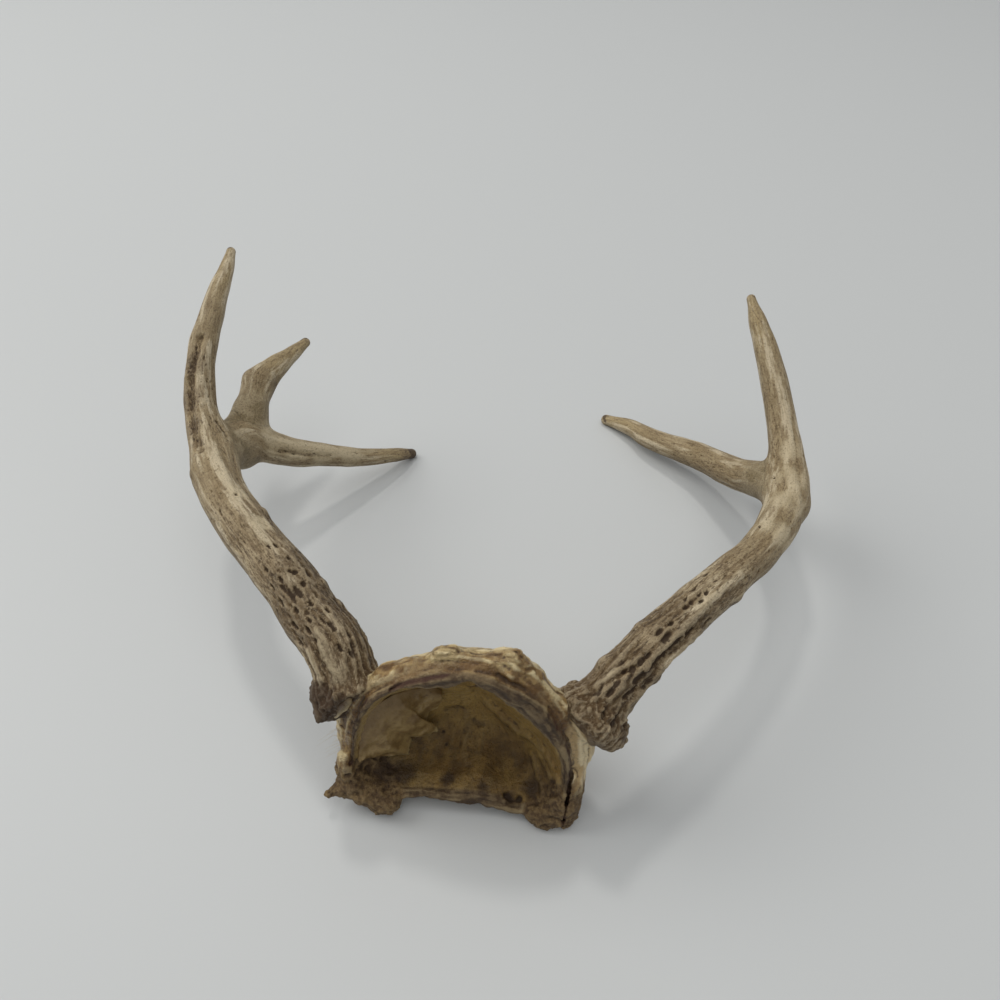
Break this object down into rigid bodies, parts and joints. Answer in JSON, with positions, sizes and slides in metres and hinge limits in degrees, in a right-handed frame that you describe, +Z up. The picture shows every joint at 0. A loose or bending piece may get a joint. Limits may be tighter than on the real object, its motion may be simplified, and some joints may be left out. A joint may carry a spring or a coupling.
{
  "type": "deer antler rack",
  "caption": "Small white-tailed deer rack: two branched antlers on their burrs, still on the cut and broken skull plate, lying face down on its tips and the plate's corners.",
  "frame": {"origin": "on the surface the rack lies on, below the middle of its bounding box", "axes": "+X to the right as seen from the open side of the braincase, +Y from the braincase towards the tines, +Z up from the surface"},
  "size_m": [0.231, 0.1952, 0.0907],
  "materials": {
    "antler": null,
    "skull": null
  },
  "bodies": {
    "root": {"skull_plate": "skull", "left_main_beam": "antler", "left_g2_tine": "antler", "left_beam_tip": "antler", "left_g3_tine": "antler", "right_main_beam": "antler", "right_g2_tine": "antler", "right_beam_tip": "antler"}
  },
  "joints": []
}
